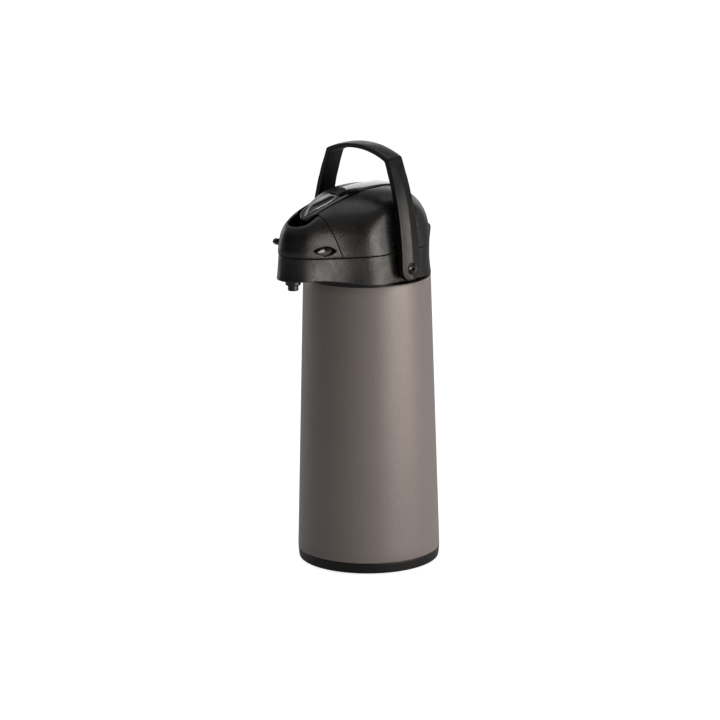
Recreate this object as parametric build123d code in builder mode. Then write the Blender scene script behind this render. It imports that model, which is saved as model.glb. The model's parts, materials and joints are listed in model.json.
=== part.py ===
from build123d import *
from math import cos, pi, radians, sin
import os

# Thermal coffee airpot with a lever pump.  Millimetres, +Z up, beak towards -Y.
# The origin is the centre of the rest face under the foot ring.

# Base and outer shell
foot_inner_r = 60.0
foot_outer_r = 66.0
foot_h = 3.5
foot_pad_r = 14.0
foot_web_w = 6.0
foot_web_z = 1.4
foot_chamfer = 0.6
foot_fit = 0.1
base_bottom_z = 1.0
base_bottom_r = 70.0
base_top_r = 71.0
base_top_z = 12.0
base_floor_z = 6.0
base_rim_t = 1.2
base_fillet_r = 1.5
spigot_h = 9.0
spigot_wall = 2.2
body_top_r = 63.2
body_top_z = 290.3
sheet = 0.8
gap = 0.2
neck_ring_h = 9.0
neck_wall = 3.0
neck_band_h = 0.5
socket_fit = 1.2
socket_wall = 2.2
socket_h = 8.6
socket_drop = 8.0
web_t = 3.0
sleeve_fit = 0.5
sleeve_wall = 3.0
sleeve_h = 12.0

# Vacuum liner
glass = 1.5
flask_r = 58.5
flask_bottom_z = 20.0
flask_shoulder_z = 258.0
flask_neck_r = 27.0
flask_spacing = 4.5
flask_foot_h = 20.0
flask_shoulder_h = 18.0
neck_play = 0.6
cradle_r = 66.0
cradle_hole_r = 18.0
cradle_t = 4.0
cradle_wall = 3.0
cradle_wall_h = 20.0
cushion_r = 40.0
cushion_hole_r = 12.0
cushion_h = 16.0
mouth_z = 290.0
rim_h = 1.5
screw_circle_r = 45.0
screw_r = 1.5
screw_head_r = 4.0
screw_head_h = 2.0
screw_fit = 0.1
screw_head_fit = 0.3
screw_sunk = 0.4
base_screw_len = 8.5
cross_len = 4.6
cross_w = 0.9
cross_depth = 1.0
collar_screw_circle_r = 52.0
collar_screw_head_r = 3.0
collar_screw_head_h = 1.8
collar_cross_len = 3.6
collar_cross_w = 0.8
screw_start = 20.0
screw_range = 140.0
screw_depth = 10.0
lid_screw_circle_r = 44.0
lid_boss_r = 4.0
lid_screw_head_r = 2.8
lid_screw_head_h = 1.6
lid_screw_len = 8.0

# Head outline: a round rear that swells into a beak towards -Y
head_r = 61.8
nose_reach = 50.5
lip_flare_r = 1.5
lip_flare_nose = 3.8
waist = 0.5
nose_spread = 18.0
nose_sharpness = 2.6
outline_angles = [0, 7, 14, 22, 32, 48, 75, 110, 145, 180, 215, 250, 285, 312, 328, 338, 346, 353]
seam_z = 321.5
crown_z = 379.5
dome_power = 2.7
beak_power = 5.0
beak_fade = 1.3
dome_shares = [0.0, 0.2, 0.4, 0.56, 0.68, 0.78, 0.86, 0.92, 0.965, 0.99]
wall = 2.5

# Collar
collar_bottom_z = 291.0
beak_bottom_z = 301.0
lip_mid_y = -45.0
lip_mid_rise = 2.6
lip_beak_y = -85.0
lip_beak_drop = 0.6
lip_end_y = -125.0
lip_space_depth = 20.0
collar_levels = [291.0, 299.0, 307.0, 315.0, 321.3]
collar_opening_r = 45.0
flat_x = 55.8
flat_tilt_z = 306.0
flat_lean = 0.15

# Rear hinge
hinge_y = 62.5
hinge_z = 329.5
hinge_r = 5.5
hinge_pin_r = 1.75
hinge_half_w = 22.5
hinge_pin_over = 0.5
hinge_notch_y = 54.5
hinge_notch_h = 16.0
hinge_notch_play = 0.4
hinge_notch_len = 30.0
hinge_web = [(-4.0, 0.0), (5.5, 0.0), (3.5, -14.0), (-1.5, -22.0), (-4.0, -16.0)]
bore_half = 30.0
hinge_mid_half_w = 11.5
running_gap = 0.05

# Handle
pivot_y = -3.0
pivot_z = 306.0
pivot_r = 4.0
pivot_boss_r = 9.0
pivot_boss_t = 6.0
pivot_head_x = 64.2
pivot_head_over = 1.2
pivot_head_t = 1.6
pivot_len = 14.0
pivot_recess_x = 64.0
arm_t = 6.2
arm_end_half_w = 12.4
grip_half_w = 9.75
grip_top_z = 423.0
grip_t = 5.0
grip_corner_z = 414.0
arm_foot_drop = 14.0
arm_corner_trim = 0.7
arm_corner_drop = 4.0

# Lever and pump
lever_half_w = 12.4
slot_gap = 0.6
lever_pivot_y = 40.0
lever_pivot_z = 364.0
lever_pin_r = 2.0
lever_rear_y = 46.0
lever_tip_y = -87.0
lever_arch = [
    (-79.0, 363.8),
    (-54.8, 371.8),
    (-39.3, 375.6),
    (-20.0, 378.8),
    (0.0, 379.6),
    (24.0, 378.0),
]
lever_front_slope = 0.6
lever_rear_z = 372.0
lever_thin_y = -60.0
lever_thin_z = 363.3
lever_thin_tip_y = -90.0
lever_thin_tip_z = 355.8
lever_boss_r = 4.5
lever_block_h = 8.0
lever_pin_over = 3.0
lever_lug = [(-6.0, -6.0), (-4.0, 10.0), (5.0, 10.0), (8.0, -6.0)]
lever_slot_z = 350.0
lever_slot_len = 140.0
lever_slot_h = 40.0
lever_tip_hollow = 8.0
lever_rear_hollow = 3.0
lever_cut_z = 330.0
lever_cut_h = 60.0
lever_cut_y = 60.0
presser_half_w = 6.0
presser_t = 8.0
presser_h = 8.0
presser_r = 4.0
lever_rear_slope = 0.6
lever_edge_r = 2.6
lever_bend_y = -76.0
badge_front_y = -85.5
badge_wide_y = -60.0
badge_rear_y = -44.0
badge_half_w = 9.0
badge_rear_share = 0.6
badge_t = 0.6
badge_proud = 0.5
lever_t = 7.0
lever_skin = 2.2
pump_y = -5.0
lid_plate_z = 322.0
lid_plate_t = 2.5
lid_plate_half_w = 50.0
push_plate_z = 352.0
push_plate_t = 3.0
push_plate_r = 33.0
stem_top_z = 366.0
bellows_r = 30.0
spring_r = 12.0
spring_wire_r = 0.9
spring_pitch = 5.0
spring_play = 1.5
stem_r = 6.0
valve_r = 6.0
valve_t = 0.8
valve_lift = 0.1
fold_count = 4
fold_t = 1.2
fold_depth = 5.0

# Spout line
tube_r = 4.0
tube_wall = 1.0
tube_y = -12.0
spout_y = -100.7
pipe_z = 309.0
pipe_end_z = 299.0
nozzle_r = 5.3
nozzle_bottom_z = 290.2
nozzle_top_z = 302.4
nozzle_chamfer = 0.5
boss_r = 7.6
boss_bottom_z = 295.8
boss_h = 8.0
pipe_bend_r = 6.5
air_y = 12.0
plug_z = 293.0
plug_t = 6.0
plug_plunge = 8.0
plug_fit = 0.4
dip_clearance = 8.0
air_duct_r = 8.0
air_duct_z = 303.0
air_gasket_r = 10.0

# Scoop under the lever tip, and the lock bar across the beak
scoop_half_w = 13.0
scoop_front_y = -101.5
scoop_rear_y = -55.0
scoop_floor_z = 335.4
scoop_wall = 2.0
part_line_y = -66.4
part_line_angle = 16.9
bar_y = -83.6
bar_z = 329.4
bar_play = 0.25
pocket_grow = 2.0
pocket_rise = 1.3
bar_half_len = 9.5
bar_half_h = 3.7
bar_far_x = -37.5
bar_near_x = 28.0
pocket_x = 25.5
pocket_run = 30.0


# Helpers --------------------------------------------------------------------


def write(part, name):
    """Label one finished piece and write its file."""
    part.label = name
    export_step(part, f"parts/{name}.step")


def ring(z, height, outer_r, inner_r, y=0, mode=Mode.ADD):
    """A plain upright ring from z up; an inner radius of 0 makes a disc."""
    with BuildSketch(Plane.XY.offset(z)) as face:
        with Locations((0, y)):
            Circle(outer_r)
            if inner_r > 0:
                Circle(inner_r, mode=Mode.SUBTRACT)
    extrude(face.sketch, amount=height, mode=mode)


def foot_moulding(grow, web_z, height, mode):
    """The foot: an outer ring and a centre pad, joined by three thin webs."""
    ring(0, height, foot_outer_r + grow, foot_inner_r - grow, mode=mode)
    ring(0, height, foot_pad_r + grow, 0, mode=mode)
    with BuildSketch(Plane.XY.offset(web_z)) as face:
        with PolarLocations((foot_inner_r + foot_pad_r) / 2, 3, start_angle=60):
            Rectangle(foot_inner_r - foot_pad_r + 1, foot_web_w + 2 * grow)
    extrude(face.sketch, amount=height - web_z, mode=mode)


def rod_x(x, length, radius, y, z, mode=Mode.ADD):
    """A round bar along X, from x on."""
    with BuildSketch(Plane.YZ.offset(x)) as face:
        with Locations((y, z)):
            Circle(radius)
    extrude(face.sketch, amount=length, mode=mode)


def outline(radius, nose):
    """Points of a head section: a circle that swells into the beak towards -Y."""
    points = []
    for angle in outline_angles:
        turn = min(angle, 360 - angle)
        reach = radius + nose / (1 + (turn / nose_spread) ** nose_sharpness)
        points.append((reach * sin(radians(angle)), -reach * cos(radians(angle))))
    return points


def section(z, radius, nose):
    """One horizontal head section at height z."""
    with BuildSketch(Plane.XY.offset(z)) as face:
        with BuildLine():
            Spline(*outline(radius, nose), periodic=True)
        make_face()
    return face.sketch


def dome_section(share, inset):
    """A dome section at a share of the way from seam to crown, inset on all sides."""
    radius = head_r * (1 - share**dome_power) ** (1 / dome_power)
    nose = nose_reach * (1 - share**beak_power) ** beak_fade
    height = crown_z - inset - seam_z - gap
    return section(seam_z + gap + share * height, radius - inset, nose)


def collar_section(z, inset):
    """A collar section: a faint waist between the seam and the flared lower lip."""
    share = (seam_z - z) / (seam_z - collar_bottom_z)
    radius = head_r + lip_flare_r * share**2 - waist * sin(pi * share)
    return section(z, radius - inset, nose_reach + lip_flare_nose * share)


def side_flats(inset):
    """Waste outside the two side flats that the handle arms swing along."""
    outside = flat_x - inset
    high_z = crown_z + 20
    low_z = collar_bottom_z - 10
    lean = (high_z - flat_tilt_z) * flat_lean
    with BuildSketch(Plane.XZ.offset(-100)) as face:
        with BuildLine():
            Polyline(
                (outside, low_z),
                (outside, flat_tilt_z),
                (outside - lean, high_z),
                (outside + 40, high_z),
                (outside + 40, low_z),
                close=True,
            )
        make_face()
        mirror(about=Plane.YZ)
    extrude(face.sketch, amount=200)


def under_lip(rise, mode=Mode.ADD):
    """Space under the collar's lower lip, which sweeps up from the handle to the beak."""
    with BuildSketch(Plane.YZ.offset(-80)) as face:
        with BuildLine():
            lip = Spline(
                (0, collar_bottom_z + rise),
                (lip_mid_y, collar_bottom_z + lip_mid_rise + rise),
                (lip_beak_y, beak_bottom_z - lip_beak_drop + rise),
                (lip_end_y, beak_bottom_z + rise),
                tangents=((-1, 0), (-1, 0)),
            )
            Polyline(
                lip @ 1,
                (lip_end_y, body_top_z - lip_space_depth),
                (0, body_top_z - lip_space_depth),
                lip @ 0,
            )
        make_face()
    extrude(face.sketch, amount=160, mode=mode)


def flask(radius, bottom_z, shoulder_z, neck_r, top_z, mode=Mode.ADD):
    """A bottle-shaped solid with a rounded foot and a rounded shoulder."""
    with BuildSketch(Plane.XZ) as face:
        with BuildLine():
            foot = Spline((0, bottom_z), (radius, bottom_z + flask_foot_h), tangents=((1, 0), (0, 1)))
            side = Line(foot @ 1, (radius, shoulder_z))
            shoulder = Spline(
                side @ 1, (neck_r, shoulder_z + flask_shoulder_h), tangents=((0, 1), (0, 1))
            )
            Polyline(shoulder @ 1, (neck_r, top_z), (0, top_z), foot @ 0)
        make_face()
    revolve(face.sketch, axis=Axis.Z, mode=mode)


def collar_screw_rods(radius, depth, mode):
    """Round rods down through the collar's deck and the neck ring's web."""
    with BuildSketch(Plane.XY.offset(collar_bottom_z + wall)) as face:
        with PolarLocations(collar_screw_circle_r, 4, start_angle=screw_start, angular_range=screw_range):
            Circle(radius)
    extrude(face.sketch, amount=-depth, mode=mode)


def scoop(grow, floor_z, mode):
    """The finger scoop: a slot with a round front end, open to the rear."""
    front = scoop_front_y - grow
    half_w = scoop_half_w + grow
    bend_y = front + half_w
    with BuildSketch(Plane.XY.offset(floor_z)) as face:
        with BuildLine():
            ThreePointArc((-half_w, bend_y), (0, front), (half_w, bend_y))
            Polyline(
                (half_w, bend_y),
                (half_w, scoop_rear_y),
                (-half_w, scoop_rear_y),
                (-half_w, bend_y),
            )
        make_face()
    extrude(face.sketch, amount=crown_z - floor_z, mode=mode)


def lens(half_len, half_h, x, amount, mode=Mode.ADD):
    """A lens-shaped prism along X at the lock bar's place."""
    with BuildSketch(Plane.YZ.offset(x)) as face:
        with BuildLine():
            front = (bar_y - half_len, bar_z)
            rear = (bar_y + half_len, bar_z)
            ThreePointArc(front, (bar_y, bar_z + half_h), rear)
            ThreePointArc(front, (bar_y, bar_z - half_h), rear)
        make_face()
    extrude(face.sketch, amount=amount, mode=mode)


def lever_strip(top_drop, bottom_drop, half_w, front_y, rear_y, mode=Mode.ADD):
    """A strip that follows the arched top of the lever, between two depths below it."""
    knee_y, knee_z = lever_arch[0]
    front_z = knee_z + lever_front_slope * (front_y - knee_y)
    rear_z = lever_rear_z - lever_rear_slope * (rear_y - lever_rear_y)
    middle = [(y, z) for y, z in lever_arch if y > front_y + 3]
    arch = [(front_y, front_z)] + middle + [(rear_y, rear_z)]
    with BuildSketch(Plane.YZ.offset(-half_w)) as face:
        with BuildLine():
            top = Spline(*[(y, z - top_drop) for y, z in arch])
            bottom = Spline(*[(y, z - bottom_drop) for y, z in arch])
            Line(top @ 0, bottom @ 0)
            Line(top @ 1, bottom @ 1)
        make_face()
    extrude(face.sketch, amount=2 * half_w, mode=mode)


def leaf(front_y, mid_y, rear_y, half_w, mode):
    """A pointed leaf outline on the lever's top, cut straight down."""
    with BuildSketch(Plane.XY.offset(lever_cut_z)) as face:
        with BuildLine():
            ThreePointArc((0, front_y), (half_w, mid_y), (badge_rear_share * half_w, rear_y))
            ThreePointArc((0, front_y), (-half_w, mid_y), (-badge_rear_share * half_w, rear_y))
            Line((badge_rear_share * half_w, rear_y), (-badge_rear_share * half_w, rear_y))
        make_face()
    extrude(face.sketch, amount=lever_cut_h, mode=mode)


# Base, outer shell and liner ------------------------------------------------

with BuildPart() as foot_ring:
    foot_moulding(0, foot_web_z, foot_h, Mode.ADD)
    chamfer(foot_ring.edges().group_by(Axis.Z)[0], foot_chamfer)

with BuildPart() as base_cap:
    with BuildSketch(Plane.XZ):
        with BuildLine():
            Polyline(
                (0, base_bottom_z),
                (base_bottom_r, base_bottom_z),
                (base_top_r, base_top_z - gap),
                (base_top_r - base_rim_t, base_top_z - gap),
                (base_top_r - base_rim_t, base_top_z + spigot_h),
                (base_top_r - base_rim_t - spigot_wall, base_top_z + spigot_h),
                (base_top_r - base_rim_t - spigot_wall, base_floor_z),
                (0, base_floor_z),
                close=True,
            )
        make_face()
    revolve(axis=Axis.Z)
    fillet(base_cap.edges().group_by(Axis.Z)[0].sort_by(SortBy.LENGTH)[-1], base_fillet_r)
    foot_moulding(foot_fit, base_bottom_z, foot_h, Mode.SUBTRACT)
    with PolarLocations(screw_circle_r, 3):
        Hole(screw_r + screw_fit)
    with BuildSketch(Plane.XY.offset(base_bottom_z)):
        with PolarLocations(screw_circle_r, 3):
            Circle(screw_head_r + screw_head_fit)
    extrude(amount=screw_head_h + screw_sunk, mode=Mode.SUBTRACT)

with BuildPart() as base_screws:
    with BuildSketch(Plane.XY.offset(base_bottom_z + screw_sunk)):
        with PolarLocations(screw_circle_r, 3):
            Circle(screw_head_r)
    extrude(amount=screw_head_h)
    with BuildSketch(Plane.XY.offset(base_bottom_z + screw_sunk)):
        with PolarLocations(screw_circle_r, 3):
            Circle(screw_r)
    extrude(amount=base_screw_len)
    with BuildSketch(Plane.XY.offset(base_bottom_z + screw_sunk)):
        with PolarLocations(screw_circle_r, 3):
            Rectangle(cross_len, cross_w)
            Rectangle(cross_w, cross_len)
    extrude(amount=cross_depth, mode=Mode.SUBTRACT)

with BuildPart() as outer_body:
    with BuildSketch(Plane.XZ):
        with BuildLine():
            Polyline(
                (base_top_r, base_top_z),
                (body_top_r, body_top_z),
                (body_top_r - sheet, body_top_z),
                (base_top_r - sheet, base_top_z),
                close=True,
            )
        make_face()
    revolve(axis=Axis.Z)

with BuildPart() as liner_cradle:
    ring(base_floor_z, cradle_t, cradle_r, cradle_hole_r)
    ring(base_floor_z + cradle_t, cradle_wall_h, cradle_r, cradle_r - cradle_wall)
    with PolarLocations(screw_circle_r, 3):
        Hole(screw_r)

with BuildPart() as liner_cushion:
    ring(base_floor_z + cradle_t, cushion_h, cushion_r, cushion_hole_r)
    flask(flask_r, flask_bottom_z - gap, flask_shoulder_z, flask_neck_r, mouth_z, Mode.SUBTRACT)

inner_r = flask_r - flask_spacing
inner_neck_r = flask_neck_r - glass - neck_play
inner_bottom_z = flask_bottom_z + flask_spacing
inner_shoulder_z = flask_shoulder_z - flask_spacing
bore_r = inner_neck_r - glass

with BuildPart() as liner_outer_flask:
    flask(flask_r, flask_bottom_z, flask_shoulder_z, flask_neck_r, mouth_z - rim_h)
    flask(
        flask_r - glass,
        flask_bottom_z + glass,
        flask_shoulder_z - glass,
        flask_neck_r - glass,
        mouth_z,
        Mode.SUBTRACT,
    )

with BuildPart() as liner_inner_flask:
    flask(inner_r, inner_bottom_z, inner_shoulder_z, inner_neck_r, mouth_z)
    ring(mouth_z - rim_h, rim_h, flask_neck_r, 0)
    flask(
        inner_r - glass,
        inner_bottom_z + glass,
        inner_shoulder_z - glass,
        bore_r,
        mouth_z + 1,
        Mode.SUBTRACT,
    )

# Head blanks that the collar, dome and beak cover are cut from -----------------

with BuildPart() as collar_outer:
    loft([collar_section(level, 0) for level in collar_levels])

with BuildPart() as collar_inner:
    loft([collar_section(level, wall) for level in collar_levels])

with BuildPart() as dome_outer:
    loft([dome_section(share, 0) for share in dome_shares])

with BuildPart() as dome_inner:
    loft([dome_section(share, wall) for share in dome_shares])

with BuildPart() as flats_outside:
    side_flats(0)

with BuildPart() as flats_inside:
    side_flats(wall)

with BuildPart() as lip_space:
    under_lip(0)

front_plane = Plane(
    origin=(0, part_line_y, seam_z),
    x_dir=(1, 0, 0),
    z_dir=(0, -cos(radians(part_line_angle)), -sin(radians(part_line_angle))),
)

with BuildPart() as front_half:
    with BuildSketch(front_plane):
        Rectangle(300, 300)
    extrude(amount=120)

# Neck, mouth and collar -----------------------------------------------------

neck_r = body_top_r - 0.2
neck_z = body_top_z + 0.1
socket_z = body_top_z - socket_drop
socket_r = neck_r - socket_fit

with BuildPart() as neck_ring:
    ring(neck_z, neck_ring_h, neck_r, neck_r - neck_wall)
    add(lip_space.part, mode=Mode.INTERSECT)
    ring(neck_z, neck_band_h, neck_r, neck_r - neck_wall)
    ring(socket_z, socket_h, socket_r, socket_r - socket_wall)
    ring(socket_z, web_t, socket_r, flask_neck_r + sleeve_fit)
    ring(socket_z, sleeve_h, flask_neck_r + sleeve_fit + sleeve_wall, flask_neck_r + sleeve_fit)
    collar_screw_rods(screw_r, screw_depth + 2, Mode.SUBTRACT)

with BuildPart() as mouth_gasket:
    ring(mouth_z, plug_z - mouth_z, flask_neck_r, bore_r)

with BuildPart() as mouth_plug:
    ring(plug_z, plug_t, flask_neck_r, 0)
    ring(plug_z - plug_plunge, plug_plunge, bore_r - plug_fit, 0)
    ring(plug_z - plug_plunge, plug_t + plug_plunge, tube_r, 0, tube_y, Mode.SUBTRACT)
    ring(plug_z - plug_plunge, plug_t + plug_plunge, tube_r, 0, air_y, Mode.SUBTRACT)

with BuildPart() as dip_tube:
    dip_bottom_z = inner_bottom_z + dip_clearance
    ring(dip_bottom_z, plug_z + plug_t - dip_bottom_z, tube_r, tube_r - tube_wall, tube_y)

with BuildPart() as collar_hollow:
    add(collar_inner.part)
    add(flats_inside.part, mode=Mode.SUBTRACT)
    under_lip(wall, Mode.SUBTRACT)
    with BuildSketch(Plane.XY.offset(collar_bottom_z)):
        Rectangle(200, 200, align=(Align.CENTER, Align.MIN))
    extrude(amount=wall, mode=Mode.SUBTRACT)

with BuildPart() as collar:
    add(collar_outer.part)
    add(flats_outside.part, mode=Mode.SUBTRACT)
    add(lip_space.part, mode=Mode.SUBTRACT)
    add(collar_hollow.part, mode=Mode.SUBTRACT)
    ring(boss_bottom_z, boss_h, boss_r, 0, spout_y)
    ring(collar_bottom_z - 5, 25, collar_opening_r, 0, 0, Mode.SUBTRACT)
    ring(body_top_z, 20, nozzle_r, 0, spout_y, Mode.SUBTRACT)
    for sign in (-1, 1):
        rod_x(sign * (flat_x - 0.5), -sign * pivot_boss_t, pivot_boss_r, pivot_y, pivot_z)
        rod_x(sign * (flat_x + 1), -sign * 10, pivot_r, pivot_y, pivot_z, Mode.SUBTRACT)
        with BuildSketch(Plane.YZ.offset(sign * (hinge_mid_half_w + gap))):
            with Locations((hinge_y, hinge_z)):
                Circle(hinge_r)
            with BuildLine():
                Polyline(*[(hinge_y + y, hinge_z + z) for y, z in hinge_web], close=True)
            make_face()
        extrude(amount=sign * (hinge_half_w - hinge_mid_half_w - gap))
    rod_x(-bore_half, 2 * bore_half, hinge_pin_r, hinge_y, hinge_z, Mode.SUBTRACT)
    collar_screw_rods(screw_r, screw_depth, Mode.SUBTRACT)

with BuildPart() as hinge_pin:
    rod_x(-hinge_half_w - hinge_pin_over, 2 * (hinge_half_w + hinge_pin_over), hinge_pin_r, hinge_y, hinge_z)

with BuildPart() as collar_screws:
    collar_screw_rods(screw_r, screw_depth, Mode.ADD)
    with BuildSketch(Plane.XY.offset(collar_bottom_z + wall)):
        with PolarLocations(collar_screw_circle_r, 4, start_angle=screw_start, angular_range=screw_range):
            Circle(collar_screw_head_r)
    extrude(amount=collar_screw_head_h)
    with BuildSketch(Plane.XY.offset(collar_bottom_z + wall + collar_screw_head_h / 2)):
        with PolarLocations(collar_screw_circle_r, 4, start_angle=screw_start, angular_range=screw_range):
            Rectangle(collar_cross_len, collar_cross_w)
            Rectangle(collar_cross_w, collar_cross_len)
    extrude(amount=collar_screw_head_h / 2, mode=Mode.SUBTRACT)

with BuildPart() as spout_nozzle:
    ring(nozzle_bottom_z, nozzle_top_z - nozzle_bottom_z, nozzle_r, tube_r - tube_wall, spout_y)
    chamfer(spout_nozzle.edges().group_by(Axis.Z)[0], nozzle_chamfer)
    ring(pipe_end_z, 10, tube_r, 0, spout_y, Mode.SUBTRACT)

with BuildPart() as spout_pipe:
    with BuildLine(Plane.YZ):
        FilletPolyline(
            (tube_y, plug_z + plug_t),
            (tube_y, pipe_z),
            (spout_y, pipe_z),
            (spout_y, pipe_end_z),
            radius=pipe_bend_r,
        )
    with BuildSketch(Plane.XY.offset(plug_z + plug_t)):
        with Locations((0, tube_y)):
            Circle(tube_r)
            Circle(tube_r - tube_wall, mode=Mode.SUBTRACT)
    sweep()

# Handle ---------------------------------------------------------------------

arm_line = [(66.4, pivot_z - arm_foot_drop), (66.2, pivot_z), (63.9, 334), (56.9, 373), (43.5, 413.5)]
arm_end_x, arm_end_z = arm_line[-1]
inner_line = [(x - arm_t, z) for x, z in arm_line[:-1]]
inner_line.append((arm_end_x - arm_t + arm_corner_trim, arm_end_z - arm_corner_drop))
inner_end_x, inner_end_z = inner_line[-1]

with BuildPart() as handle:
    with BuildSketch(Plane.XZ.offset(-20)):
        with BuildLine():
            outer = Spline(*arm_line)
            inner = Spline(*inner_line)
            ThreePointArc(outer @ 1, (0, grip_top_z), (-arm_end_x, arm_end_z))
            ThreePointArc(inner @ 1, (0, grip_top_z - grip_t), (-inner_end_x, inner_end_z))
            foot = Line(outer @ 0, inner @ 0)
            mirror([outer, inner, foot], about=Plane.YZ)
        make_face()
    extrude(amount=40)
    with BuildSketch(Plane.YZ.offset(-80)):
        with BuildLine():
            Polyline(
                (pivot_y - arm_end_half_w, pivot_z),
                (pivot_y - grip_half_w, grip_corner_z),
                (pivot_y - grip_half_w, grip_top_z + arm_t),
                (pivot_y + grip_half_w, grip_top_z + arm_t),
                (pivot_y + grip_half_w, grip_corner_z),
                (pivot_y + arm_end_half_w, pivot_z),
            )
            ThreePointArc(
                (pivot_y + arm_end_half_w, pivot_z),
                (pivot_y, pivot_z - arm_end_half_w),
                (pivot_y - arm_end_half_w, pivot_z),
            )
        make_face()
    extrude(amount=160, mode=Mode.INTERSECT)
    rod_x(-80, 160, pivot_r + running_gap, pivot_y, pivot_z, Mode.SUBTRACT)
    for sign in (-1, 1):
        rod_x(sign * pivot_recess_x, sign * 5, pivot_r + pivot_head_t, pivot_y, pivot_z, Mode.SUBTRACT)

with BuildPart() as handle_pivots:
    for sign in (-1, 1):
        rod_x(sign * pivot_head_x, -sign * pivot_len, pivot_r, pivot_y, pivot_z)
        rod_x(sign * pivot_head_x, sign * pivot_head_t, pivot_r + pivot_head_over, pivot_y, pivot_z)

# Lid: dome, beak cover, lock bar and inner plate -------------------------------

with BuildPart() as nose_hollow:
    add(dome_inner.part)
    scoop(scoop_wall, scoop_floor_z - scoop_wall, Mode.SUBTRACT)

with BuildPart() as nose_cover:
    add(dome_outer.part)
    add(front_half.part, mode=Mode.INTERSECT)
    add(nose_hollow.part, mode=Mode.SUBTRACT)
    scoop(0, scoop_floor_z, Mode.SUBTRACT)
    lens(bar_half_len + bar_play, bar_half_h + bar_play, -60, 120, Mode.SUBTRACT)
    for sign in (-1, 1):
        lens(
            bar_half_len + pocket_grow,
            bar_half_h + pocket_rise,
            sign * pocket_x,
            sign * pocket_run,
            Mode.SUBTRACT,
        )

with BuildPart() as lock_bar:
    lens(bar_half_len, bar_half_h, bar_far_x, bar_near_x - bar_far_x)

pin_half = lever_half_w + slot_gap + lever_pin_over

with BuildPart() as lid_hollow:
    add(dome_inner.part)
    add(flats_inside.part, mode=Mode.SUBTRACT)

with BuildPart() as lid_shell:
    add(dome_outer.part)
    add(flats_outside.part, mode=Mode.SUBTRACT)
    add(front_half.part, mode=Mode.SUBTRACT)
    add(lid_hollow.part, mode=Mode.SUBTRACT)
    with BuildSketch(Plane.XY.offset(lid_plate_z + lid_plate_t)):
        with PolarLocations(lid_screw_circle_r, 4, start_angle=45):
            Circle(lid_boss_r)
    extrude(amount=50)
    for sign in (-1, 1):
        with BuildSketch(Plane.YZ.offset(sign * (lever_half_w + slot_gap))):
            with BuildLine():
                Polyline(*[(lever_pivot_y + y, lever_pivot_z + z) for y, z in lever_lug], close=True)
            make_face()
        extrude(amount=sign * lever_pin_over)
    add(dome_outer.part, mode=Mode.INTERSECT)
    with BuildSketch(Plane.XY.offset(lever_slot_z)):
        with Locations((0, lever_rear_y + slot_gap)):
            Rectangle(2 * (lever_half_w + slot_gap), lever_slot_len, align=(Align.CENTER, Align.MAX))
    extrude(amount=lever_slot_h, mode=Mode.SUBTRACT)
    rod_x(-pin_half, 2 * pin_half, lever_pin_r, lever_pivot_y, lever_pivot_z, Mode.SUBTRACT)
    with BuildSketch(Plane.XY.offset(seam_z - 1)):
        with Locations((0, hinge_notch_y)):
            Rectangle(
                2 * (hinge_half_w + hinge_notch_play),
                hinge_notch_len,
                align=(Align.CENTER, Align.MIN),
            )
            Rectangle(
                2 * hinge_mid_half_w,
                hinge_notch_len,
                align=(Align.CENTER, Align.MIN),
                mode=Mode.SUBTRACT,
            )
    extrude(amount=hinge_notch_h, mode=Mode.SUBTRACT)
    rod_x(-hinge_mid_half_w, 2 * hinge_mid_half_w, hinge_r, hinge_y, hinge_z)
    rod_x(-bore_half, 2 * bore_half, hinge_pin_r + running_gap, hinge_y, hinge_z, Mode.SUBTRACT)
    with BuildSketch(Plane.XY.offset(lid_plate_z + lid_plate_t)):
        with PolarLocations(lid_screw_circle_r, 4, start_angle=45):
            Circle(screw_r)
    extrude(amount=10, mode=Mode.SUBTRACT)

with BuildPart() as lever_pin:
    rod_x(-pin_half, 2 * pin_half, lever_pin_r, lever_pivot_y, lever_pivot_z)

with BuildPart() as lid_plate:
    with BuildSketch(Plane.XY.offset(lid_plate_z)):
        Circle(head_r - wall - 0.6)
        Rectangle(2 * lid_plate_half_w, 160, mode=Mode.INTERSECT)
    extrude(amount=lid_plate_t)
    ring(air_duct_z, lid_plate_z - air_duct_z, air_duct_r, 0, air_y)
    ring(air_duct_z - 1, lid_plate_z + lid_plate_t + 2 - air_duct_z, tube_r, 0, air_y, Mode.SUBTRACT)
    with BuildSketch(Plane.XY.offset(lid_plate_z)):
        with PolarLocations(lid_screw_circle_r, 4, start_angle=45):
            Circle(screw_r)
    extrude(amount=lid_plate_t, mode=Mode.SUBTRACT)

with BuildPart() as lid_gasket:
    gasket_bottom_z = plug_z + plug_t + gap
    ring(gasket_bottom_z, air_duct_z - gasket_bottom_z, air_gasket_r, tube_r, air_y)

with BuildPart() as lid_screws:
    with BuildSketch(Plane.XY.offset(lid_plate_z - lid_screw_head_h)):
        with PolarLocations(lid_screw_circle_r, 4, start_angle=45):
            Circle(lid_screw_head_r)
    extrude(amount=lid_screw_head_h)
    with BuildSketch(Plane.XY.offset(lid_plate_z)):
        with PolarLocations(lid_screw_circle_r, 4, start_angle=45):
            Circle(screw_r)
    extrude(amount=lid_screw_len)

# Pump -----------------------------------------------------------------------

bellows_bottom_z = lid_plate_z + lid_plate_t
fold_h = (push_plate_z - bellows_bottom_z) / fold_count

with BuildPart() as bellows:
    with BuildSketch(Plane.XZ):
        with BuildLine():
            outside = [(bellows_r - fold_depth, bellows_bottom_z)]
            for fold in range(fold_count):
                outside.append((bellows_r, bellows_bottom_z + (fold + 0.5) * fold_h))
                outside.append((bellows_r - fold_depth, bellows_bottom_z + (fold + 1) * fold_h))
            inside = [(r - fold_t, z) for r, z in reversed(outside)]
            Polyline(*outside, *inside, close=True)
        make_face()
    revolve(axis=Axis.Z)

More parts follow.
